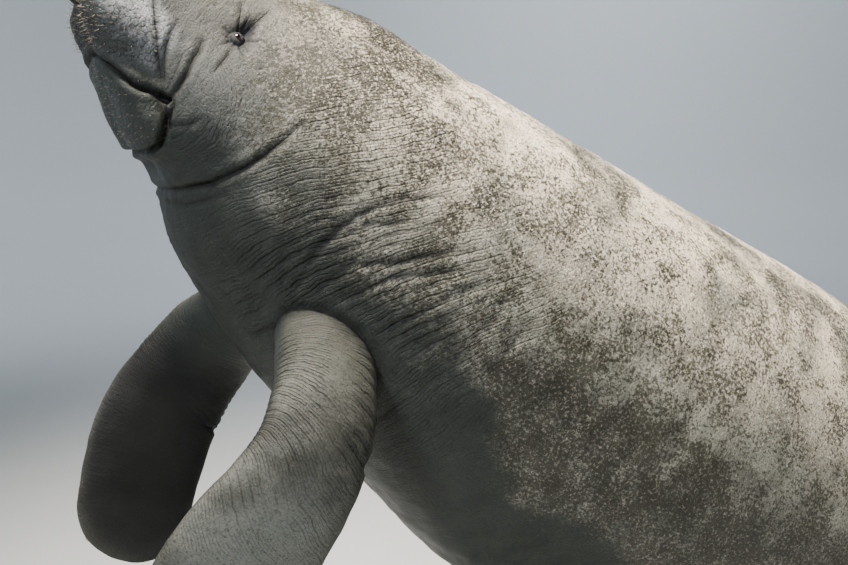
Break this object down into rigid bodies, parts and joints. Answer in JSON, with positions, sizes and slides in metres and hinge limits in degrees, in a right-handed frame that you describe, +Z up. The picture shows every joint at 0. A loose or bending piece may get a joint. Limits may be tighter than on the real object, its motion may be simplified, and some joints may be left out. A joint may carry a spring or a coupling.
{
  "type": "life-size manatee model on a display stand",
  "caption": "Adult Florida manatee at life size, rising as it swims, with snout raised and flippers hanging, held on a flat base by short rods.",
  "frame": {"origin": "on the floor under the middle of the whole part's bounding box", "axes": "+X towards the tail, so the head faces -X; +Y towards the animal's right; +Z up"},
  "size_m": [2.667, 0.84, 1.5096],
  "materials": {
    "skin": "thick wrinkled grey-brown hide with olive algae mottling",
    "eye": "wet, glossy dark brown",
    "nail": "dull pale horn",
    "stand_board": "satin dark grey paint",
    "stand_metal": "satin brushed"
  },
  "bodies": {
    "root": {"head": "skin", "lower_jaw": "skin", "neck": "skin", "chest": "skin", "belly": "skin", "tail_stock": "skin", "tail_paddle": "skin", "arm_left": "skin", "arm_right": "skin", "hand_left": "skin", "hand_right": "skin", "eye_left": "eye", "eye_right": "eye", "nail_left_1": "nail", "nail_left_2": "nail", "nail_left_3": "nail", "nail_right_1": "nail", "nail_right_2": "nail", "nail_right_3": "nail", "stand_base": "stand_board", "stand_rod_front": "stand_metal", "stand_rod_rear": "stand_metal"}
  },
  "joints": []
}
